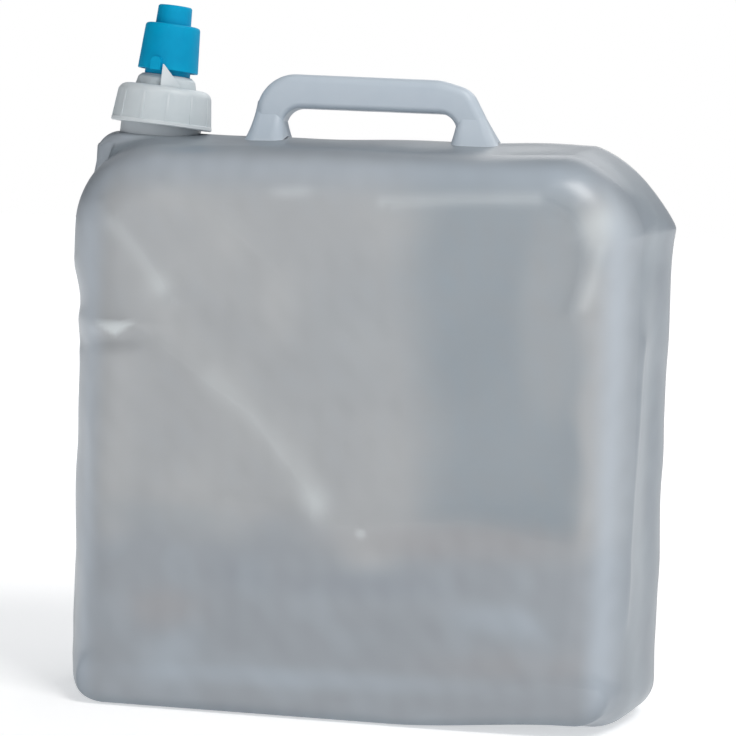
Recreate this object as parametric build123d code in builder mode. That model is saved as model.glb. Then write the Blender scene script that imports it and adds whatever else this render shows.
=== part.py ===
from build123d import *
import os
from math import cos, radians, sin

os.makedirs("parts", exist_ok=True)

# ---------------------------------------------------------------- dimensions, mm
# Can body: a boxy pillow, widest at its mid-plane, which is where the neck and the handle stand
MID_W = 332.0  # width across the mid-plane parting line
MID_H = 312.0  # height at the mid-plane, a low ridge along the top
MID_NECK_R = 12.0  # parting line: small corner under the neck
MID_FAR_R = 38.0  # parting line: round top corner at the far end
MID_BOT_R = 26.0
PANEL_W = 286.0  # front and back panels
PANEL_H = 298.0
PANEL_TOP_R = 40.0
PANEL_BOT_R = 34.0
BODY_D = 150.0
WEB_Y = 36.0  # the small corner under the neck runs this far to front and back
WEB_END_Y = 47.0  # and is gone here
EDGE_R = 18.0  # round between a panel and the sides
WALL = 1.2

# Neck: stands on the far left of the top and leans towards the middle
NECK_X = -124.0
NECK_Z = 311.2
NECK_TILT = 5.5
SEAT_Z = -2.5  # height of the can's round seat along the neck's axis
PAD_TOP_R = 26.0  # round seat of the can under the neck
PAD_FOOT_R = 30.0
PAD_H = 12.0
NECK_R = 22.7
NECK_BORE_R = 19.0
NECK_H = 22.6
FLANGE_R = 25.0
FLANGE_T = 2.0

# Cap thread
PITCH = 4.0
THREAD_DEPTH = 1.5
THREAD_GAP = 0.3
THREAD_START = 37.0  # degrees round the neck from its local x direction, where every ridge begins

# Screw cap
LIP_Z = 4.6
CAP_TOP_Z = 26.4
PLATE_T = 2.0
LIP_R = 28.5
CAP_FOOT_R = 27.8
CAP_SHOULDER_R = 26.1
CAP_BORE_R = NECK_R + THREAD_DEPTH + THREAD_GAP
RIBS = 12
BOSS_FOOT_R = 17.2
BOSS_SHOULDER_R = 16.2
BOSS_TOP_Z = 32.8
BORE_R = 13.0
SLEEVE_R = 15.0
SLEEVE_Z = 10.0
CORE_SEAT_R = 13.7

TURN = 18.0  # the fin and the lug are set this far round from the front

# Twist spout, drawn where it stands when it is open
SPOUT_Z = 35.5
SKIRT_FOOT_R = 17.0
SKIRT_TOP_R = 15.3
SKIRT_H = 25.8
TUBE_R = 12.8
TUBE_BORE_R = 10.0
TUBE_END_Z = 16.6
OUTLET_FOOT_R = 10.0
OUTLET_TOP_R = 9.5
OUTLET_H = 10.6
OUTLET_BORE_R = 6.5
SPOUT_THREAD_DEPTH = 0.9
RING_Z = 30.8  # middle of the o-ring's groove
RING_WIRE_R = 0.8

# Handle
HANDLE_T = 17.0  # front to back
HANDLE_TOP_Z = 345.5
SLOT_TOP_Z = 327.3
FOOT_D = 58.0  # spread of a foot from front to back

# ---------------------------------------------------------------- neck frame
T = radians(NECK_TILT)
NECK = Plane(origin=(NECK_X, 0, NECK_Z), x_dir=(cos(T), 0, -sin(T)), z_dir=(sin(T), 0, cos(T)))
# plane through the neck's axis: its y direction is the axis
SECTION = Plane(origin=NECK.origin, x_dir=NECK.x_dir, z_dir=-NECK.y_dir)
AXIS = Axis(NECK.origin, NECK.z_dir)


def can_outer(shrink):
    """Front half-outline pair of the pillow, every side moved in by shrink."""
    with BuildPart() as half:
        for y, share, r_neck in (
            (0.0, 0.0, MID_NECK_R),
            (WEB_Y, WEB_Y / (BODY_D / 2), MID_NECK_R + 3.0),
            (WEB_END_Y, WEB_END_Y / (BODY_D / 2), PANEL_TOP_R - 2.0),
            (BODY_D / 2 - shrink, 1.0, PANEL_TOP_R),
        ):
            w = MID_W + (PANEL_W - MID_W) * share
            h = MID_H + (PANEL_H - MID_H) * share
            r_far = MID_FAR_R + (PANEL_TOP_R - MID_FAR_R) * share
            r_bot = MID_BOT_R + (PANEL_BOT_R - MID_BOT_R) * share
            with BuildSketch(Plane.XZ.offset(y)) as outline:
                with BuildLine():
                    Polyline(
                        (-w / 2 + shrink, shrink),
                        (w / 2 - shrink, shrink),
                        (w / 2 - shrink, h - shrink),
                        (-w / 2 + shrink, h - shrink),
                        close=True,
                    )
                make_face()
                fillet(outline.vertices().group_by(Axis.Y)[0], r_bot - shrink)
                fillet(outline.vertices().group_by(Axis.Y)[-1].sort_by(Axis.X)[0], r_neck - shrink)
                fillet(outline.vertices().group_by(Axis.Y)[-1].sort_by(Axis.X)[-1], r_far - shrink)
        loft(ruled=True)
        fillet(half.faces().sort_by(Axis.Y)[0].edges(), EDGE_R - shrink)
        mirror(about=Plane.XZ)
    return half.part


def ring_profile(points):
    """Closed outline in the section plane of the neck, from (radius, height) pairs."""
    with BuildSketch(SECTION) as face:
        with BuildLine():
            Polyline(*points, close=True)
        make_face()
    return face.sketch


def thread_ridge(root_r, crest_r, start_z, turns, root_w, crest_w):
    """A helical ridge of trapezoid section about the neck's axis, its root sunk into the wall."""
    sink = 0.4 if crest_r > root_r else -0.4
    foot_w = root_w + (root_w - crest_w) * abs(sink / (crest_r - root_r))
    with BuildPart() as ridge:
        with BuildLine() as path:
            Helix(PITCH, PITCH * turns, root_r, center=(0, 0, start_z))
        with BuildSketch(Plane(origin=(root_r, 0, start_z), x_dir=(1, 0, 0), z_dir=(0, -1, 0))):
            with BuildLine():
                Polyline(
                    (-sink, -foot_w / 2),
                    (crest_r - root_r, -crest_w / 2),
                    (crest_r - root_r, crest_w / 2),
                    (-sink, foot_w / 2),
                    close=True,
                )
            make_face()
        sweep(path=path.line, is_frenet=True)
    return NECK.location * Rot(0, 0, THREAD_START) * ridge.part


outer_shape = can_outer(0.0)
inner_shape = can_outer(WALL)
neck_thread = thread_ridge(NECK_R, NECK_R + THREAD_DEPTH, 11.0, 1.75, 2.5, 1.3)
cap_thread = thread_ridge(CAP_BORE_R, CAP_BORE_R - THREAD_DEPTH, 13.0, 1.5, 2.3, 1.2)
bore_thread = thread_ridge(BORE_R, BORE_R - SPOUT_THREAD_DEPTH, 20.0, 1.0, 2.4, 1.5)
tube_root_r = TUBE_R - SPOUT_THREAD_DEPTH - 0.05
spout_thread = thread_ridge(tube_root_r, TUBE_R, 18.0, 2.5, 2.2, 1.3)

# ---------------------------------------------------------------- bladder: thin blow-moulded can body
with BuildPart() as bladder:
    add(outer_shape)
    with BuildSketch(NECK.offset(SEAT_Z)):
        Circle(PAD_TOP_R)
    with BuildSketch(NECK.offset(SEAT_Z - PAD_H)):
        Circle(PAD_FOOT_R)
    loft()
    add(inner_shape, mode=Mode.SUBTRACT)
    with BuildSketch(NECK.offset(SEAT_Z - WALL)):
        Circle(PAD_TOP_R - WALL)
    with BuildSketch(NECK.offset(SEAT_Z - PAD_H - 3)):
        Circle(PAD_FOOT_R + 2.0)
    loft(mode=Mode.SUBTRACT)
    with BuildSketch(NECK.offset(SEAT_Z - WALL - 2)):
        Circle(NECK_R)
    extrude(amount=WALL + 9, mode=Mode.SUBTRACT)
bladder.part.label = "bladder"
export_step(bladder.part, "parts/bladder.step")

# ---------------------------------------------------------------- neck: threaded fitment welded into the can
with BuildPart() as neck_ring:
    add(
        revolve(
            ring_profile(
                [
                    (NECK_BORE_R, SEAT_Z - WALL - FLANGE_T),
                    (FLANGE_R, SEAT_Z - WALL - FLANGE_T),
                    (FLANGE_R, SEAT_Z - WALL),
                    (NECK_R, SEAT_Z - WALL),
                    (NECK_R, NECK_H - 0.6),
                    (NECK_R - 0.6, NECK_H),
                    (NECK_BORE_R + 0.5, NECK_H),
                    (NECK_BORE_R, NECK_H - 0.5),
                ]
            ),
            AXIS,
            mode=Mode.PRIVATE,
        )
    )
    add(neck_thread)
neck_ring.part.label = "neck_ring"
export_step(neck_ring.part, "parts/neck_ring.step")

# ---------------------------------------------------------------- handle: solid arch with a finger slot and spread feet
with BuildPart() as carry_handle:
    with BuildSketch(Plane.XZ.offset(-HANDLE_T / 2)) as arch:
        with BuildLine():
            Polyline(
                (-71.3, 302.0),
                (73.4, 302.0),
                (52.8, HANDLE_TOP_Z - 5.5),
                (36.0, HANDLE_TOP_Z - 0.8),
                (-64.3, HANDLE_TOP_Z + 1.0),
                close=True,
            )
        make_face()
        fillet(arch.vertices().sort_by(Axis.Y)[-1], 22.0)
        fillet(arch.vertices().filter_by(lambda v: 35.5 < v.X < 36.5 and v.Y > 330.0), 30.0)
        fillet(arch.vertices().filter_by(lambda v: 52.3 < v.X < 53.3 and v.Y > 330.0), 14.0)
    extrude(amount=HANDLE_T)
    with BuildSketch(Plane.XZ.offset(-40.0)) as slot:
        with BuildLine():
            Polyline((-52.0, 295.0), (45.8, 295.0), (45.8, SLOT_TOP_Z - 1.0), (-52.0, SLOT_TOP_Z + 0.3), close=True)
        make_face()
        fillet(slot.vertices().filter_by(lambda v: v.Y > 320.0), 10.0)
    extrude(amount=80.0, mode=Mode.SUBTRACT)
    rims = [e for e in carry_handle.edges() if abs(abs(e.center().Y) - HANDLE_T / 2) < 0.01 and e.center().Z > 303.0]
    inner = [e for e in rims if -53.5 < e.center().X < 47.0 and e.center().Z < SLOT_TOP_Z + 1.0]
    fillet([e for e in rims if e not in inner], 5.0)
    rims = [e for e in carry_handle.edges() if abs(abs(e.center().Y) - HANDLE_T / 2) < 0.01 and e.center().Z > 303.0]
    fillet([e for e in rims if -53.5 < e.center().X < 47.0 and e.center().Z < SLOT_TOP_Z + 1.0], 3.0)
    # feet, spread to front and back over the can's top
    for sections in (
        ((300.0, -75.0, -46.0, FOOT_D, 8.0), (309.0, -71.6, -49.5, 40.0, 7.0), (318.0, -69.2, -51.4, 24.0, 5.0), (331.0, -67.2, -53.2, 11.0, 3.0)),
        ((300.0, 41.0, 77.5, FOOT_D, 8.0), (309.0, 43.6, 70.4, 40.0, 7.0), (318.0, 45.2, 64.9, 24.0, 5.0), (331.0, 47.0, 57.2, 11.0, 3.0)),
    ):
        for z, x0, x1, depth, r in sections:
            with BuildSketch(Plane.XY.offset(z)):
                with Locations(((x0 + x1) / 2, 0)):
                    RectangleRounded(x1 - x0, depth, r)
        loft()
    add(outer_shape, mode=Mode.SUBTRACT)
carry_handle.part.label = "carry_handle"
export_step(carry_handle.part, "parts/carry_handle.step")

# ---------------------------------------------------------------- screw cap with its boss, inner sleeve and stop fin
with BuildPart() as screw_cap:
    add(
        revolve(
            ring_profile(
                [
                    (BORE_R, SLEEVE_Z + 3.0),
                    (CORE_SEAT_R, SLEEVE_Z + 3.0),
                    (CORE_SEAT_R, SLEEVE_Z),
                    (SLEEVE_R, SLEEVE_Z),
                    (SLEEVE_R, CAP_TOP_Z - PLATE_T),
                    (CAP_BORE_R, CAP_TOP_Z - PLATE_T),
                    (CAP_BORE_R, LIP_Z + 3.4),
                    (CAP_BORE_R + 1.2, LIP_Z + 2.0),
                    (CAP_BORE_R + 1.2, LIP_Z),
                    (LIP_R - 0.5, LIP_Z),
                    (LIP_R, LIP_Z + 0.5),
                    (LIP_R - 0.15, LIP_Z + 2.1),
                    (LIP_R - 0.6, LIP_Z + 2.5),
                    (CAP_FOOT_R, LIP_Z + 2.5),
                    (CAP_SHOULDER_R + 0.25, CAP_TOP_Z - 4.6),
                    (CAP_SHOULDER_R - 0.05, CAP_TOP_Z - 3.3),
                    (CAP_SHOULDER_R - 0.75, CAP_TOP_Z - 2.05),
                    (CAP_SHOULDER_R - 1.8, CAP_TOP_Z - 1.0),
                    (CAP_SHOULDER_R - 3.2, CAP_TOP_Z - 0.3),
                    (CAP_SHOULDER_R - 4.8, CAP_TOP_Z),
                    (BOSS_FOOT_R, CAP_TOP_Z),
                    (BOSS_SHOULDER_R, BOSS_TOP_Z - 2.2),
                    (BOSS_SHOULDER_R - 0.6, BOSS_TOP_Z - 1.4),
                    (BORE_R + 0.9, BOSS_TOP_Z),
                    (BORE_R + 0.3, BOSS_TOP_Z),
                    (BORE_R, BOSS_TOP_Z - 0.3),
                ]
            ),
            AXIS,
            mode=Mode.PRIVATE,
        )
    )
    add(cap_thread)
    add(bore_thread)
    # grip ribs
    for i in range(RIBS):
        a = radians(-90.0 - 9.5 + 30.0 * i)
        at = NECK.offset(LIP_Z + 2.0)
        foot = Plane(
            origin=at.from_local_coords((cos(a) * (CAP_FOOT_R - 0.15), sin(a) * (CAP_FOOT_R - 0.15), 0)),
            x_dir=NECK.x_dir * cos(a) + NECK.y_dir * sin(a),
            z_dir=NECK.z_dir,
        )
        at2 = NECK.offset(CAP_TOP_Z - 3.6)
        head = Plane(
            origin=at2.from_local_coords((cos(a) * (CAP_SHOULDER_R - 0.15), sin(a) * (CAP_SHOULDER_R - 0.15), 0)),
            x_dir=NECK.x_dir * cos(a) + NECK.y_dir * sin(a),
            z_dir=NECK.z_dir,
        )
        with BuildSketch(foot):
            Rectangle(1.2, 1.5)
        with BuildSketch(head):
            Rectangle(0.8, 1.2)
        loft()
    # stop fin: upright face on the left, falling away to the right
    ft = radians(TURN)
    fin_plane = Plane(
        origin=NECK.origin,
        x_dir=NECK.x_dir * cos(ft) + NECK.y_dir * sin(ft),
        z_dir=NECK.x_dir * sin(ft) - NECK.y_dir * cos(ft),
    ).offset(17.75)
    with BuildSketch(fin_plane):
        with BuildLine():
            Polyline(
                (-3.9, CAP_TOP_Z - 0.4),
                (7.3, CAP_TOP_Z - 0.4),
                (6.7, CAP_TOP_Z + 1.2),
                (-3.2, CAP_TOP_Z + 11.8),
                (-3.9, CAP_TOP_Z + 11.8),
                close=True,
            )
        make_face()
    extrude(amount=2.5)
screw_cap.part.label = "screw_cap"
export_step(screw_cap.part, "parts/screw_cap.step")

# ---------------------------------------------------------------- flat gasket under the cap's plate
with BuildPart() as cap_gasket:
    with BuildSketch(NECK.offset(CAP_TOP_Z - PLATE_T - 1.55)):
        Circle(CAP_BORE_R - 0.35)
        Circle(SLEEVE_R + 0.35, mode=Mode.SUBTRACT)
    extrude(amount=1.5)
cap_gasket.part.label = "cap_gasket"
export_step(cap_gasket.part, "parts/cap_gasket.step")

# ---------------------------------------------------------------- valve core: ring, three arms, stem and plug head
with BuildPart() as valve_core:
    with BuildSketch(NECK.offset(SLEEVE_Z)):
        Circle(CORE_SEAT_R - 0.05)
        Circle(CORE_SEAT_R - 2.0, mode=Mode.SUBTRACT)
        for k in range(3):
            a = radians(30.0 + 120.0 * k)
            with Locations(Location((cos(a) * 7.0, sin(a) * 7.0, 0), (0, 0, 30.0 + 120.0 * k))):
                Rectangle(12.0, 2.2)
        Circle(4.2)
    extrude(amount=2.9)
    add(
        revolve(
            ring_profile(
                [
                    (0, SLEEVE_Z),
                    (4.2, SLEEVE_Z),
                    (4.2, SLEEVE_Z + 2.9),
                    (3.2, SLEEVE_Z + 5.0),
                    (3.2, 50.4),
                    (5.4, 52.6),
                    (6.42, 53.2),
                    (6.42, 54.8),
                    (5.6, 55.5),
                    (0, 55.9),
                ]
            ),
            AXIS,
            mode=Mode.PRIVATE,
        )
    )
valve_core.part.label = "valve_core"
export_step(valve_core.part, "parts/valve_core.step")

# ---------------------------------------------------------------- twist spout: skirt, inner threaded tube, outlet and lug
SKIRT_TOP_Z = SPOUT_Z + SKIRT_H
OUTLET_Z = SKIRT_TOP_Z + OUTLET_H
with BuildPart() as twist_spout:
    add(
        revolve(
            ring_profile(
                [
                    (TUBE_BORE_R, TUBE_END_Z),
                    (tube_root_r, TUBE_END_Z),
                    (tube_root_r, 29.2),
                    (TUBE_R, 29.2),
                    (TUBE_R, RING_Z - RING_WIRE_R - 0.1),
                    (TUBE_R - 1.5, RING_Z - RING_WIRE_R - 0.1),
                    (TUBE_R - 1.5, RING_Z + RING_WIRE_R + 0.1),
                    (TUBE_R, RING_Z + RING_WIRE_R + 0.1),
                    (TUBE_R, SKIRT_TOP_Z - 2.4),
                    (SKIRT_TOP_R - 1.7, SKIRT_TOP_Z - 2.4),
                    (SKIRT_FOOT_R - 1.7, SPOUT_Z),
                    (SKIRT_FOOT_R - 0.3, SPOUT_Z),
                    (SKIRT_FOOT_R, SPOUT_Z + 0.4),
                    (SKIRT_TOP_R + 0.1, SKIRT_TOP_Z - 1.5),
                    (SKIRT_TOP_R - 0.4, SKIRT_TOP_Z - 0.45),
                    (SKIRT_TOP_R - 1.5, SKIRT_TOP_Z),
                    (OUTLET_FOOT_R, SKIRT_TOP_Z),
                    (OUTLET_TOP_R, OUTLET_Z - 0.7),
                    (OUTLET_TOP_R - 0.6, OUTLET_Z),
                    (OUTLET_BORE_R + 0.4, OUTLET_Z),
                    (OUTLET_BORE_R, OUTLET_Z - 0.4),
                    (OUTLET_BORE_R, 57.0),
                    (TUBE_BORE_R, 52.0),
                ]
            ),
            AXIS,
            mode=Mode.PRIVATE,
        )
    )
    # domed lug that meets the fin
    LUG_A = radians(-90.0 + TURN - 24.4)
    lug_plane = Plane(
        origin=NECK.from_local_coords((cos(LUG_A) * 15.9, sin(LUG_A) * 15.9, 0)),
        x_dir=NECK.x_dir * -sin(LUG_A) + NECK.y_dir * cos(LUG_A),
        z_dir=NECK.x_dir * cos(LUG_A) + NECK.y_dir * sin(LUG_A),
    )
    with BuildSketch(lug_plane) as lug:
        with BuildLine():
            l1 = Polyline((-3.0, SPOUT_Z + 3.6), (-3.0, SPOUT_Z - 0.7), (3.0, SPOUT_Z - 0.7), (3.0, SPOUT_Z + 3.6))
            ThreePointArc(l1 @ 1, (0, SPOUT_Z + 6.6), l1 @ 0)
        make_face()
    extrude(amount=3.5)
    add(spout_thread)
twist_spout.part.label = "twist_spout"
export_step(twist_spout.part, "parts/twist_spout.step")

# ---------------------------------------------------------------- o-ring in the spout's groove
with BuildPart() as spout_o_ring:
    at = Plane(
        origin=SECTION.from_local_coords((BORE_R - 0.05 - RING_WIRE_R, RING_Z, 0)),
        x_dir=SECTION.x_dir,
        z_dir=SECTION.z_dir,
    )
    with BuildSketch(at):
        Circle(RING_WIRE_R)
    revolve(axis=AXIS)
spout_o_ring.part.label = "spout_o_ring"
export_step(spout_o_ring.part, "parts/spout_o_ring.step")
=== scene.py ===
import math

import bmesh
import bpy
import numpy as np
from mathutils import Matrix, Vector


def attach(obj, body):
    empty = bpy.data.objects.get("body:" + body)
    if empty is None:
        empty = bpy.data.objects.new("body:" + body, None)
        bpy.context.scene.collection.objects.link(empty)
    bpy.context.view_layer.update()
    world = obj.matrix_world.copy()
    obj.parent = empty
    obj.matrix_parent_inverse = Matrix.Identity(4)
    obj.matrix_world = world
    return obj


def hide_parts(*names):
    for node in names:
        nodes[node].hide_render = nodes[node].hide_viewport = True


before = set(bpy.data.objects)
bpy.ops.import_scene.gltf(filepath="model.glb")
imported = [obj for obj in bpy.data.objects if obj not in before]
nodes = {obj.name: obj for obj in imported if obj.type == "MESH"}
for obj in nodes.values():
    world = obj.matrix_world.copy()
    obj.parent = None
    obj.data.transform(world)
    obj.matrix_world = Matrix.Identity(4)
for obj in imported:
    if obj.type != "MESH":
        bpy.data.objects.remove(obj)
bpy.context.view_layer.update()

MM = 0.001
rng = np.random.default_rng(7)

# ------------------------------------------------------------------ neck frame, as in the CAD, mm
TILT = math.radians(5.5)
NECK_O = np.array([-124.0, 0.0, 311.2])
NECK_AXIS = np.array([math.sin(TILT), 0.0, math.cos(TILT)])


def smooth(lo, hi, v):
    t = np.clip((v - lo) / (hi - lo), 0.0, 1.0)  # lo above hi gives a fall
    return t * t * (3.0 - 2.0 * t)


# ------------------------------------------------------------------ can body: outlines and rings
COUNTS = (132, 26, 124, 30, 132, 26, 124, 26)


def outline(w, h, r_neck, r_far, r_bot, inset=0.0, flat=0.0):
    """Points (x, z) round a rounded rectangle, the same number on every outline."""
    x0, x1, z0, z1 = -w / 2 + inset, w / 2 - inset, inset, h - inset
    rn, rf, rb = (max(r - inset, 2.0) for r in (r_neck, r_far, r_bot))
    most = 0.49 * min(x1 - x0, z1 - z0)
    rn, rf, rb = min(rn, most), min(rf, most), min(rb, most)
    out = []

    def line(a, b, n):
        for k in range(n):
            t = k / n
            out.append((a[0] + (b[0] - a[0]) * t, a[1] + (b[1] - a[1]) * t))

    def arc(cx, cz, r, a0, n, q=1.0):
        for k in range(n):
            a = math.radians(a0 + 90.0 * k / n)
            c, s = math.cos(a), math.sin(a)
            out.append((cx + r * math.copysign(abs(c) ** q, c), cz + r * math.copysign(abs(s) ** q, s)))

    line((x0 + rb, z0), (x1 - rb, z0), COUNTS[0])
    arc(x1 - rb, z0 + rb, rb, -90, COUNTS[1])
    line((x1, z0 + rb), (x1, z1 - rf), COUNTS[2])
    arc(x1 - rf, z1 - rf, rf, 0, COUNTS[3], 1.0 + flat)
    line((x1 - rf, z1), (x0 + rn, z1), COUNTS[4])
    arc(x0 + rn, z1 - rn, rn, 90, COUNTS[5])
    line((x0, z1 - rn), (x0, z0 + rb), COUNTS[6])
    arc(x0 + rb, z0 + rb, rb, 180, COUNTS[7])
    return np.array(out)


HALF = 73.4
ROUND = 25.0  # round between a panel and the sides
INSET = 22.0


def section(s, inset=0.0):
    """Outline at s, from 0 at the parting line to 1 at a panel."""
    t = s**1.25
    small = 1.0 - smooth(0.20, 0.40, s)  # the small corner of the web under the neck
    return outline(
        331.0 + (285.0 - 331.0) * t,
        311.2 + (298.5 - 311.2) * t,
        46.0 - 6.0 * t - 35.0 * small,
        44.0 - 4.0 * t,
        20.0 + 4.0 * t,
        inset,
        0.42 * (1.0 - t),
    )


def half_rings(sign):
    """Rings from the parting line out to the middle of one panel, sign -1 for the front."""
    rings = []
    s_end = 1.0 - ROUND / HALF
    for k in range(0 if sign < 0 else 1, 41):
        s = s_end * k / 40
        q = section(s)
        rings.append(np.column_stack([q[:, 0], np.full(len(q), sign * HALF * s), q[:, 1]]))
    a = rings[-1]
    q = section(1.0, 1.5)
    c = np.column_stack([q[:, 0], np.full(len(q), sign * HALF), q[:, 1]])
    p = section(1.0, INSET)
    e = np.column_stack([p[:, 0], np.full(len(p), sign * HALF), p[:, 1]])
    for k in range(1, 19):
        u = k / 18
        rings.append((1 - u) ** 2 * a + 2 * u * (1 - u) * c + u * u * e)
    for k in range(1, 62):
        inset = INSET + 118.0 * k / 61
        p = section(1.0, inset)
        rings.append(np.column_stack([p[:, 0], np.full(len(p), sign * HALF), p[:, 1]]))
    return rings


front = half_rings(-1)
back = half_rings(+1)
rings = front[::-1] + back
N = sum(COUNTS)
grid = np.array(rings)  # rings, N, 3


def grid_normals(g):
    dv = np.gradient(g, axis=0)
    du = (np.roll(g, -1, axis=1) - np.roll(g, 1, axis=1)) / 2
    n = np.cross(dv, du)
    ln = np.linalg.norm(n, axis=2, keepdims=True)
    n = n / np.maximum(ln, 1e-9)
    middle = np.array([0.0, 0.0, 150.0])
    flip = np.sign(np.sum(n * (g - middle), axis=2, keepdims=True))
    return n * np.where(flip == 0, 1, flip)


normals = grid_normals(grid)
P = grid.reshape(-1, 3)
NRM = normals.reshape(-1, 3)
X, Y, Z = P[:, 0], P[:, 1], P[:, 2]
on_front = smooth(0.35, 0.85, -NRM[:, 1])
on_back = smooth(0.35, 0.85, NRM[:, 1])
on_side = 1.0 - smooth(0.35, 0.8, np.abs(NRM[:, 1]))
on_top = smooth(0.5, 0.9, NRM[:, 2])


def along(a_, b_, pts, width, height, sharp=True):
    """Fold that follows a polyline in the plane (a_, b_), highest on the line."""
    best = np.full(a_.shape, 1e9)
    total = np.zeros(a_.shape)
    for (p0, p1), q in zip(pts[:-1], pts[1:]):
        d = np.array([q[0] - p0, q[1] - p1])
        L = np.hypot(*d)
        t = np.clip(((a_ - p0) * d[0] + (b_ - p1) * d[1]) / (L * L), 0, 1)
        dist = np.hypot(a_ - p0 - t * d[0], b_ - p1 - t * d[1])
        best = np.minimum(best, dist)
    if sharp:
        total = np.exp(-np.sqrt(best * best + 1.2) / width)
    else:
        total = np.exp(-((best / width) ** 2))
    return height * total


def dent(a_, b_, ca, cb, ra, rb, depth, turn=0.0, power=1.0):
    c, s = math.cos(math.radians(turn)), math.sin(math.radians(turn))
    u = ((a_ - ca) * c + (b_ - cb) * s) / ra
    v = (-(a_ - ca) * s + (b_ - cb) * c) / rb
    return depth * np.exp(-((u * u + v * v) ** power))


def waves(p, size, amount, count=9):
    """Soft irregular swell of about that wavelength, the same on every run."""
    out = np.zeros(len(p))
    for _ in range(count):
        k = rng.normal(size=3)
        k = k / np.linalg.norm(k) * (2 * math.pi / (size * rng.uniform(0.75, 1.35)))
        out += np.sin(p @ k + rng.uniform(0, 2 * math.pi))
    return amount * out / math.sqrt(count)


# crown of the two big panels
crown = (1 - np.clip(np.abs(X) / 143, 0, 1) ** 2.4) * (1 - np.clip(np.abs(Z - 149) / 149, 0, 1) ** 2.4)
d = crown * 1.6 * (on_front + on_back)

# front panel: folds, facets and dents
f = np.zeros(len(P))
f += along(X, Z, [(-118, 208), (-100, 197), (-49, 162), (-9, 115)], 13.0, 4.2)
f += along(X, Z, [(-130, 272), (-124, 262), (-94, 222)], 6.0, 2.4)
f += along(X, Z, [(-100, 284), (-87, 277), (-62, 259), (-38, 238)], 12.0, 2.0)
f += along(X, Z, [(23, 274), (58, 278), (101, 281), (116, 274), (124, 262), (123, 245), (118, 222)], 4.0, 2.2)
f += along(X, Z, [(35, 4), (110, 25), (137, 22)], 7.0, 2.6)
f += along(X, Z, [(-139, 150), (-128, 60), (-112, 30)], 12.0, 1.2)
f += along(X, Z, [(122, 215), (128, 120), (122, 50)], 9.0, 1.4)
f += along(X, Z, [(-60, 118), (0, 106), (70, 112), (118, 103)], 8.0, 0.9)
f -= dent(X, Z, -66, 222, 46, 20, 3.2, -36)
f -= dent(X, Z, -96, 165, 42, 24, 2.6, -40)
f -= dent(X, Z, -121, 199, 17, 6.0, 3.2, 4)
f += dent(X, Z, -121, 206, 15, 3.2, 1.6, 4)
f += dent(X, Z, -31, 281, 12, 3.0, 0.7, 4)
f -= dent(X, Z, 62, 190, 62, 70, 2.6, 10)
f -= dent(X, Z, 99, 135, 36, 26, 1.6, 0)
f -= dent(X, Z, -80, 60, 44, 26, 2.2, 8)
f -= dent(X, Z, 30, 62, 60, 22, 1.6, -6)
f += dent(X, Z, 100, 52, 26, 9, 1.2, -4)
f += dent(X, Z, 13, 104, 1.8, 1.5, 0.7)
f += 1.4 * (1 - smooth(100, 122, Z)) * (1 - smooth(100, 140, np.abs(X)))
f += waves(P, 95, 0.55) + waves(P, 42, 0.22) + waves(P, 20, 0.06)
d += on_front * f

# back panel: its own folds
b = np.zeros(len(P))
b += along(X, Z, [(120, 250), (60, 200), (10, 130), (-10, 90)], 18.0, 3.0)
b += along(X, Z, [(-125, 215), (-70, 170), (-30, 150)], 14.0, 2.2)
b += along(X, Z, [(-110, 40), (-40, 70), (60, 60)], 10.0, 1.6)
b -= dent(X, Z, 80, 160, 50, 36, 3.0, 40)
b -= dent(X, Z, -70, 230, 50, 30, 2.6, -20)
b -= dent(X, Z, -50, 100, 55, 32, 2.4, 12)
b += waves(P, 95, 0.55) + waves(P, 42, 0.22) + waves(P, 20, 0.06)
d += on_back * b

# sides, top and bottom
s_ = waves(P, 80, 0.5) + waves(P, 36, 0.18)
right = smooth(100, 150, X)
left = smooth(100, 150, -X)
s_ += right * along(Y, Z, [(-50, 60), (-46, 130), (-40, 205)], 6.0, 1.8)
s_ += right * along(Y, Z, [(46, 60), (42, 150), (48, 215)], 7.0, 1.5)
s_ -= right * dent(Y, Z, -24, 150, 14, 75, 2.6)
s_ -= right * dent(Y, Z, 24, 140, 15, 70, 2.4)
s_ += right * along(Y, Z, [(-58, 262), (-28, 272), (0, 268)], 7.0, 1.6)
s_ -= left * dent(Y, Z, -20, 216, 26, 30, 3.0)
s_ -= left * dent(Y, Z, 24, 140, 18, 70, 2.2)
s_ += left * along(Y, Z, [(-52, 240), (-30, 216), (-50, 190)], 7.0, 1.8)
s_ += left * along(Y, Z, [(40, 230), (46, 120), (40, 60)], 8.0, 1.4)
d += on_side * s_ * smooth(3.0, 16.0, Z)

# left end: the web beside the neck is set in, the front edge is pinched below it and swells above
shift = 7.0 * smooth(190, 232, Z) * (1 - smooth(16, 36, np.abs(Y))) * smooth(120, 150, -X)
pinch = -4.2 * smooth(192, 210, Z) * smooth(306, 288, Z) + 1.4 * np.exp(-(((Z - 217) / 11) ** 2)) - 1.6 * np.exp(-(((Z - 258) / 20) ** 2))
shift += pinch * smooth(105, 140, -X) * np.exp(-(((Y + 52) / 26) ** 2))

# parting line: a fine raised seam all round the mid-plane
d += 0.45 * np.exp(-((Y / 0.9) ** 2))

P = P + NRM * d[:, None]
P[:, 0] += shift
# nothing goes below the ground, and the bottom's front and back edges curl up
tight = 1.0 - smooth(2.0, 36.0, P[:, 2])
P[:, 1] = np.where(tight > 0, np.clip(P[:, 1] * (1 + 0.34 * tight), -HALF - 0.4, HALF + 0.4) * tight + P[:, 1] * (1 - tight), P[:, 1])
lift = 6.0 * smooth(30, 128, X)
P[:, 2] += lift * smooth(36, 72, np.abs(P[:, 1])) * (1 - smooth(0, 60, Z))
P[:, 2] = np.maximum(P[:, 2], 0.0)
P[:, 1] = np.clip(P[:, 1], -79.0, 79.0)

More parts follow.
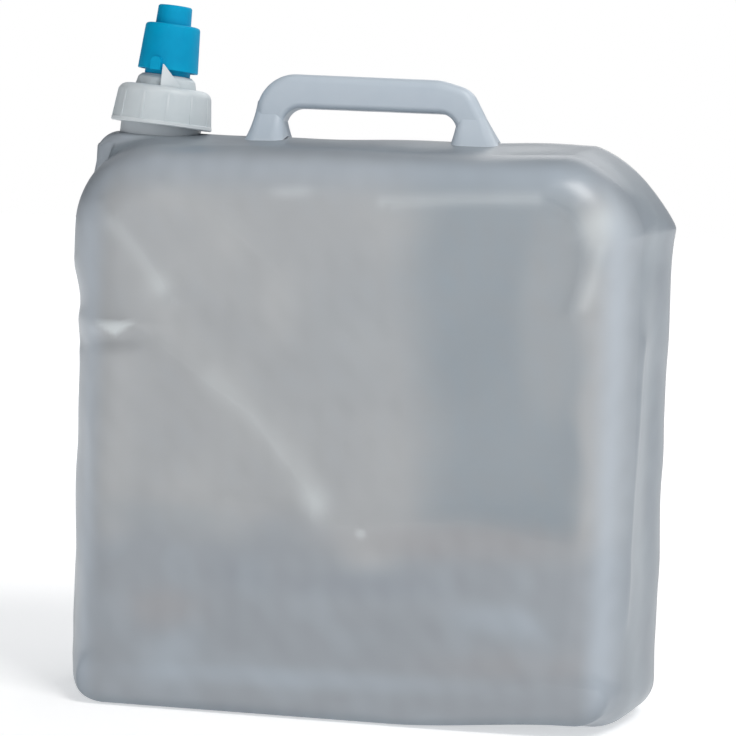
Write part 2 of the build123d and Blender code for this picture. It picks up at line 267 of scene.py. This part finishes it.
# round seat under the neck
X, Y, Z = P[:, 0], P[:, 1], P[:, 2]
rel = P - NECK_O
height = rel @ NECK_AXIS
radial = np.linalg.norm(rel - height[:, None] * NECK_AXIS, axis=1)
drop = np.interp(radial, [0, 24.8, 26.5, 28.5, 31, 35, 60], [-2.55, -2.55, -3.2, -4.8, -7.5, -12.0, -40.0])
seat_z = NECK_O[2] - math.tan(TILT) * (X - NECK_O[0]) + drop
hi = np.maximum(Z, seat_z)
k = 0.8
blend = hi + k * np.log(np.exp((Z - hi) / k) + np.exp((seat_z - hi) / k))
use = (Z > 296) & (radial < 36)
P[:, 2] = np.where(use, blend, Z)

# ------------------------------------------------------------------ tint of the milky film with painted highlights, painted sheen and painted see-through shade, linear RGB per point
X, Y, Z = P[:, 0], P[:, 1], P[:, 2]
WARM = np.array([0.400, 0.412, 0.424])
COOL = np.array([0.280, 0.322, 0.358])
PALE = np.array([0.455, 0.465, 0.470])
RIM = np.array([0.470, 0.532, 0.600])
LOW = np.array([0.315, 0.342, 0.375])


def blob(ca, cb, ra, rb, turn=0.0, power=1.0, a_=None, b_=None):
    return dent(X if a_ is None else a_, Z if b_ is None else b_, ca, cb, ra, rb, 1.0, turn, power)


def mixin(base, colour, amount):
    amount = np.clip(amount, 0.0, 1.0)[:, None]
    return base * (1.0 - amount) + colour * amount


wob = waves(P, 70, 1.0)
wob2 = waves(P, 30, 1.0)
wob3 = waves(P, 14, 1.0)
front_w = smooth(0.25, 0.8, -NRM[:, 1])
back_w = smooth(0.25, 0.8, NRM[:, 1])
tint = np.tile(WARM, (len(P), 1))
tint = mixin(tint, PALE, 0.22 * wob + 0.12 * wob2)
# front: a wide cool band right of the middle, painted shade where the dark surroundings show through the film, a
# warmer pane beyond it, painted highlights on the folds at the top left
edge = 32.0 + 14.0 * smooth(270, 174, Z)
band = smooth(edge - 24 + 5 * wob, edge + 24 + 5 * wob, X) * (1 - smooth(118, 134, X + 3 * wob2)) * smooth(84, 120, Z + 5 * wob)
band = band * (1 - 0.45 * blob(109, 222, 19, 56, 0, 2.6))
# the cool band is painted see-through shade
fr = mixin(tint, COOL, 0.82 * band + 0.06 * wob3)
# painted highlights: pale spots and a long pale streak on the folds at the top left
fr = mixin(fr, PALE, 0.55 * blob(-84, 272, 26, 10, -15) + 0.75 * blob(-66, 250, 14, 13, -35) + 0.75 * blob(-38, 222, 12, 22, 10))
fr = mixin(fr, PALE, 0.60 * np.exp(-(((0.70 * (X + 61) + 0.72 * (Z - 174)) / 12) ** 2)) * smooth(-122, -100, X) * (1 - smooth(-22, 2, X)))
fr = mixin(fr, PALE, 0.5 * blob(-124, 130, 12, 80, 0, 1.5))
# painted highlights: the bright notch under the pinch, the ridge streaks, the small dot, the lens at the top, the
# top-right crease and corner
PAINTED_HIGHLIGHT = np.array([0.62, 0.655, 0.665])
fr = mixin(fr, PAINTED_HIGHLIGHT, 0.90 * smooth(209.5, 206.5, Z) * smooth(0.0, 4.0, Z - 198.0 - 0.62 * np.abs(X + 126.0)) * smooth(15.5, 10.0, np.abs(X + 126.0)))
fr = mixin(fr, PAINTED_HIGHLIGHT, 0.30 * along(X, Z, [(-129, 261), (-115, 246), (-101, 227)], 4.2, 1.0, False) + 0.30 * blob(-101, 228, 7, 7))
fr = mixin(fr, PAINTED_HIGHLIGHT, 0.45 * blob(-12, 117, 7, 10, 25) + 0.22 * along(X, Z, [(-70, 180), (-36, 149), (-11, 117)], 7.5, 1.0, False))
fr = mixin(fr, PAINTED_HIGHLIGHT, 0.85 * blob(12.7, 101.8, 3.0, 2.6, 0, 1.6))
fr = mixin(fr, PAINTED_HIGHLIGHT, 0.40 * blob(-31, 281, 13, 3.6, 3, 1.4))
fr = mixin(fr, PAINTED_HIGHLIGHT, 0.42 * along(X, Z, [(18, 276.5), (58, 280), (98, 281.5)], 3.6, 1.0, False) + 0.75 * blob(133, 268, 11, 12, -40, 1.3))
fr = mixin(fr, PAINTED_HIGHLIGHT, 0.34 * along(X, Z, [(132, 256), (129, 240), (125, 226)], 3.0, 1.0, False))
fr = mixin(fr, COOL, 0.30 * blob(-94, 104, 48, 9, -4, 1.4) + 0.22 * blob(8, 210, 34, 40, -30))
# front: lower third, cooler, with long level streaks and a few dull patches
low = 1 - smooth(84, 112, Z + 5 * wob + 3 * wob2)
fr = mixin(fr, LOW, 0.85 * low)
fr = mixin(fr, np.array([0.355, 0.350, 0.360]), 0.7 * blob(66, 100, 62, 10, 2, 1.5) + 0.7 * blob(-93, 54, 22, 12, 0, 1.4) + 0.5 * blob(99, 37, 48, 8, 4))
fr = mixin(fr, np.array([0.300, 0.330, 0.370]), 0.6 * blob(18, 74, 46, 9, 3, 1.4) + 0.5 * blob(-52, 76, 18, 10, 0))
# the pale bluish patch at x 88, z 60 is a painted reflection
fr = mixin(fr, np.array([0.400, 0.450, 0.500]), 0.7 * blob(88, 60, 24, 9, -6, 1.3) + 0.6 * blob(-20, 22, 90, 6, 1, 1.4) + 0.6 * blob(-90, 26, 14, 22, -30) + 0.22 * low * np.clip(wob2, 0, 1))
# back: the same film with its own clouds
bk = mixin(tint, COOL, 0.6 * smooth(0.1, 1.2, wob) + 0.7 * smooth(-20, 10, X) * (1 - smooth(40, 70, X + 4 * wob2)) * smooth(60, 100, Z))
bk = mixin(bk, LOW, 0.8 * low)
# sides and the rounded rims: paler and bluer, with upright streaks; the paler, bluer rims are a painted sheen
side = mixin(np.tile(RIM * 0.52, (len(P), 1)), COOL, 0.35 + 0.30 * np.sin(Y / 7.5 + 0.8 * wob) + 0.15 * wob2)
tint = side * (1 - front_w - back_w)[:, None] + fr * front_w[:, None] + bk * back_w[:, None]
# painted sheen: the rounded rims of both panels paler and bluer
rim_w = np.clip((1 - smooth(2, 26, 298.5 - Z)) + (1 - smooth(0, 15, 143 - np.abs(X))), 0, 1) * (front_w + back_w)
tint = mixin(tint, RIM, 0.65 * rim_w)
tint = mixin(tint, PALE * 1.12, 0.8 * np.exp(-((Y / 1.0) ** 2)) * (1 - front_w - back_w))
tint = tint * (0.955 + 0.018 * wob3)[:, None]

verts = [tuple(v) for v in (P * MM)]
R = len(rings)
faces = []
rel = P - NECK_O
height = rel @ NECK_AXIS
radial = np.linalg.norm(rel - height[:, None] * NECK_AXIS, axis=1)
in_hole = (radial < 21.2) & (P[:, 2] > 300)
for r in range(R - 1):
    for i in range(N):
        j = (i + 1) % N
        q = (r * N + i, (r + 1) * N + i, (r + 1) * N + j, r * N + j)
        if all(in_hole[v] for v in q):
            continue
        faces.append(q)
for r0, order in ((0, 1), (R - 1, -1)):
    centre = len(verts)
    ring = P[r0 * N : (r0 + 1) * N] * MM
    verts.append(tuple(ring.mean(axis=0)))
    for i in range(N):
        j = (i + 1) % N
        tri = (centre, r0 * N + i, r0 * N + j)
        faces.append(tri if order > 0 else tri[::-1])

mesh = bpy.data.meshes.new("can_shell")
mesh.from_pydata(verts, [], faces)
middles = np.array([tint[:N].mean(axis=0), tint[-N:].mean(axis=0)])
colours = np.column_stack([np.vstack([tint, middles]), np.ones(len(P) + 2)])
attr = mesh.color_attributes.new("film_tint_and_painted_light", "FLOAT_COLOR", "POINT")
attr.data.foreach_set("color", colours.astype(np.float32).ravel())
mesh.validate()

bm = bmesh.new()
bm.from_mesh(mesh)
loose = [v for v in bm.verts if not v.link_faces]
bmesh.ops.delete(bm, geom=loose, context="VERTS")
bmesh.ops.recalc_face_normals(bm, faces=bm.faces)
bm.to_mesh(mesh)
bm.free()
for p in mesh.polygons:
    p.use_smooth = True
can = bpy.data.objects.new("can_shell", mesh)
bpy.context.scene.collection.objects.link(can)
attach(can, "can")
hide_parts("bladder")


# ------------------------------------------------------------------ materials
def new_mat(name):
    m = bpy.data.materials.new(name)
    m.use_nodes = True
    nt = m.node_tree
    return m, nt, nt.nodes["Principled BSDF"]


def noise_node(nt, scale, detail=3.0, rough=0.55, vector=None, stretch=None, offset=(0, 0, 0)):
    co = nt.nodes.new("ShaderNodeTexCoord")
    mp = nt.nodes.new("ShaderNodeMapping")
    mp.inputs["Location"].default_value = offset
    if stretch:
        mp.inputs["Scale"].default_value = stretch
    nt.links.new(co.outputs["Object"], mp.inputs["Vector"])
    n = nt.nodes.new("ShaderNodeTexNoise")
    n.inputs["Scale"].default_value = scale
    n.inputs["Detail"].default_value = detail
    n.inputs["Roughness"].default_value = rough
    nt.links.new(mp.outputs["Vector"], n.inputs["Vector"])
    return n


def ramp(nt, fac, stops):
    r = nt.nodes.new("ShaderNodeValToRGB")
    r.color_ramp.elements[0].position = stops[0][0]
    r.color_ramp.elements[0].color = (*stops[0][1], 1)
    r.color_ramp.elements[1].position = stops[-1][0]
    r.color_ramp.elements[1].color = (*stops[-1][1], 1)
    for pos, col in stops[1:-1]:
        e = r.color_ramp.elements.new(pos)
        e.color = (*col, 1)
    nt.links.new(fac, r.inputs["Fac"])
    return r


def mix_rgb(nt, fac, a, b, kind="MIX"):
    m = nt.nodes.new("ShaderNodeMix")
    m.data_type = "RGBA"
    m.blend_type = kind
    if isinstance(fac, (int, float)):
        m.inputs["Factor"].default_value = fac
    else:
        nt.links.new(fac, m.inputs["Factor"])
    for sock, v in ((m.inputs[6], a), (m.inputs[7], b)):
        if isinstance(v, tuple):
            sock.default_value = (*v, 1)
        else:
            nt.links.new(v, sock)
    return m.outputs[2]


def to_range(nt, value, lo, hi, from_lo=0.3, from_hi=0.7):
    r = nt.nodes.new("ShaderNodeMapRange")
    r.inputs["From Min"].default_value = from_lo
    r.inputs["From Max"].default_value = from_hi
    r.inputs["To Min"].default_value = lo
    r.inputs["To Max"].default_value = hi
    nt.links.new(value, r.inputs["Value"])
    return r.outputs["Result"]


def add_bump(nt, bsdf, layers):
    """layers: (height socket, strength, distance in metres)."""
    last = None
    for sock, strength, dist in layers:
        b = nt.nodes.new("ShaderNodeBump")
        b.inputs["Strength"].default_value = strength
        b.inputs["Distance"].default_value = dist
        nt.links.new(sock, b.inputs["Height"])
        if last is not None:
            nt.links.new(last, b.inputs["Normal"])
        last = b.outputs["Normal"]
    nt.links.new(last, bsdf.inputs["Normal"])


def can_material():
    m, nt, bsdf = new_mat("can_film")
    at = nt.nodes.new("ShaderNodeAttribute")
    at.attribute_name = "film_tint_and_painted_light"
    nt.links.new(at.outputs["Color"], bsdf.inputs["Base Color"])
    rn = noise_node(nt, 26.0, 2.0, 0.5, offset=(1.0, 2.0, 3.0))
    nt.links.new(to_range(nt, rn.outputs["Fac"], 0.285, 0.37, 0.1, 0.9), bsdf.inputs["Roughness"])
    fine = noise_node(nt, 420.0, 3.0, 0.6)
    scratch = noise_node(nt, 240.0, 2.0, 0.5, stretch=(0.12, 1.0, 2.6), offset=(0.0, 4.0, 0.0))
    add_bump(nt, bsdf, [(scratch.outputs["Fac"], 0.10, 0.0003), (fine.outputs["Fac"], 0.10, 0.0002)])
    bsdf.inputs["IOR"].default_value = 1.51
    bsdf.inputs["Specular IOR Level"].default_value = 0.55
    return m


def solid_plastic(name, dark, light, rough, scale=14.0, grain=900.0, grain_amount=0.15, spec=0.45, edge_highlight=None):
    m, nt, bsdf = new_mat(name)
    n = noise_node(nt, scale, 4.0, 0.6)
    c = ramp(nt, n.outputs["Fac"], [(0.3, dark), (0.7, light)])
    col = c.outputs["Color"]
    if edge_highlight:
        # convex edges painted lighter: a painted edge highlight
        geo = nt.nodes.new("ShaderNodeNewGeometry")
        edge = ramp(nt, geo.outputs["Pointiness"], [(0.5, (0, 0, 0)), (0.56, (1, 1, 1))])
        bw = nt.nodes.new("ShaderNodeRGBToBW")
        nt.links.new(edge.outputs["Color"], bw.inputs["Color"])
        amount = nt.nodes.new("ShaderNodeMath")
        amount.operation = "MULTIPLY"
        amount.inputs[1].default_value = 0.45
        nt.links.new(bw.outputs["Val"], amount.inputs[0])
        col = mix_rgb(nt, amount.outputs["Value"], col, edge_highlight)
    nt.links.new(col, bsdf.inputs["Base Color"])
    rn = noise_node(nt, scale * 5, 3.0, 0.6, offset=(2.0, 5.0, 1.0))
    nt.links.new(to_range(nt, rn.outputs["Fac"], rough - 0.06, rough + 0.08), bsdf.inputs["Roughness"])
    g = noise_node(nt, grain, 2.0, 0.5)
    flow = noise_node(nt, 120.0, 2.0, 0.5, stretch=(1.0, 1.0, 0.25))
    add_bump(nt, bsdf, [(flow.outputs["Fac"], 0.12, 0.0003), (g.outputs["Fac"], grain_amount, 0.00012)])
    bsdf.inputs["Specular IOR Level"].default_value = spec
    return m


can.data.materials.append(can_material())
MATS = {
    # neck: its own milky colour, partly painted lighter to stand in for light shining through it under the cap
    "neck_ring": solid_plastic("neck_plastic", (0.50, 0.545, 0.58), (0.58, 0.615, 0.64), 0.36, 20),
    "carry_handle": solid_plastic("handle_plastic", (0.50, 0.575, 0.65), (0.58, 0.645, 0.71), 0.40, 16, edge_highlight=(0.66, 0.72, 0.78)),
    "screw_cap": solid_plastic("cap_plastic", (0.58, 0.64, 0.665), (0.65, 0.70, 0.72), 0.42, 30, edge_highlight=(0.82, 0.85, 0.87)),
    "cap_gasket": solid_plastic("seal_rubber", (0.30, 0.30, 0.295), (0.36, 0.36, 0.35), 0.65, 60),
    "twist_spout": solid_plastic("spout_plastic", (0.0, 0.29, 0.53), (0.0, 0.35, 0.60), 0.48, 40, spec=0.12, edge_highlight=(0.0, 0.40, 0.66)),
}
MATS["valve_core"] = MATS["screw_cap"]
MATS["spout_o_ring"] = MATS["cap_gasket"]
for name, mat in MATS.items():
    o = nodes[name]
    o.data.materials.clear()
    o.data.materials.append(mat)

# ------------------------------------------------------------------ floor, world, lights
fm = bpy.data.meshes.new("floor")
S = 60.0
fm.from_pydata([(-S, -S, -0.0004), (S, -S, -0.0004), (S, S, -0.0004), (-S, S, -0.0004)], [], [(0, 1, 2, 3)])
floor = bpy.data.objects.new("floor", fm)
bpy.context.scene.collection.objects.link(floor)
fmat, fnt, fb = new_mat("floor")
fb.inputs["Base Color"].default_value = (0.86, 0.86, 0.86, 1)
fb.inputs["Roughness"].default_value = 0.9
fb.inputs["Emission Color"].default_value = (1, 1, 1, 1)
fco = fnt.nodes.new("ShaderNodeTexCoord")
fdist = fnt.nodes.new("ShaderNodeVectorMath")
fdist.operation = "LENGTH"
fnt.links.new(fco.outputs["Object"], fdist.inputs[0])
fnt.links.new(to_range(fnt, fdist.outputs["Value"], 0.47, 0.80, 0.35, 1.6), fb.inputs["Emission Strength"])
fm.materials.append(fmat)

# dark card out of sight on the left, which deepens the shaded side
cm = bpy.data.meshes.new("card")
cm.from_pydata([(-0.5, -1.0, 0.34), (-0.5, 0.4, 0.34), (-0.5, 0.4, 1.2), (-0.5, -1.0, 1.2)], [], [(0, 1, 2, 3)])
card = bpy.data.objects.new("card", cm)
bpy.context.scene.collection.objects.link(card)
cmat, cnt, cb = new_mat("card")
cb.inputs["Base Color"].default_value = (0.015, 0.015, 0.016, 1)
cb.inputs["Roughness"].default_value = 0.9
cm.materials.append(cmat)
card.visible_camera = False

world = bpy.data.worlds.new("studio")
world.use_nodes = True
bpy.context.scene.world = world
wnt = world.node_tree
bg = wnt.nodes["Background"]
bg.inputs["Color"].default_value = (0.93, 0.96, 1.0, 1)
bg.inputs["Strength"].default_value = 0.42
bg2 = wnt.nodes.new("ShaderNodeBackground")
bg2.inputs["Color"].default_value = (1, 1, 1, 1)
bg2.inputs["Strength"].default_value = 1.0
lp = wnt.nodes.new("ShaderNodeLightPath")
mx = wnt.nodes.new("ShaderNodeMixShader")
wnt.links.new(lp.outputs["Is Camera Ray"], mx.inputs["Fac"])
wnt.links.new(bg.outputs["Background"], mx.inputs[1])
wnt.links.new(bg2.outputs["Background"], mx.inputs[2])
wnt.links.new(mx.outputs["Shader"], wnt.nodes["World Output"].inputs["Surface"])


def area(name, loc, target, size, power, color=(1, 1, 1)):
    l = bpy.data.lights.new(name, "AREA")
    l.shape = "RECTANGLE"
    l.size, l.size_y = size
    l.energy = power
    l.color = color
    o = bpy.data.objects.new(name, l)
    o.location = loc
    o.rotation_euler = (Vector(target) - Vector(loc)).to_track_quat("-Z", "Y").to_euler()
    bpy.context.scene.collection.objects.link(o)
    return o


area("key", (0.95, -0.85, 1.75), (0, 0, 0.2), (0.8, 0.8), 17.5, (1.0, 0.985, 0.965))
area("fill", (-0.6, -2.0, 0.7), (0, 0, 0.18), (1.2, 1.2), 2.5, (0.93, 0.97, 1.0))
area("back", (0.3, 1.5, 1.4), (0, 0, 0.25), (1.4, 0.8), 6.0)

# ------------------------------------------------------------------ camera
cam_data = bpy.data.cameras.new("camera")
cam_data.sensor_width = 36.0
cam_data.lens = 104.8
cam = bpy.data.objects.new("camera", cam_data)
az, el, dist, roll = math.radians(10.0), math.radians(4.0), 1.2, math.radians(2.0)
aim = Vector((0.0, 0.0, 0.184))
cam.location = aim + dist * Vector((math.sin(az) * math.cos(el), -math.cos(az) * math.cos(el), math.sin(el)))
rot = (aim - cam.location).to_track_quat("-Z", "Y").to_matrix() @ Matrix.Rotation(roll, 3, "Z")
cam.rotation_euler = rot.to_euler()
bpy.context.scene.collection.objects.link(cam)
bpy.context.scene.camera = cam
bpy.context.scene.view_settings.view_transform = "Standard"
bpy.context.scene.view_settings.look = "None"
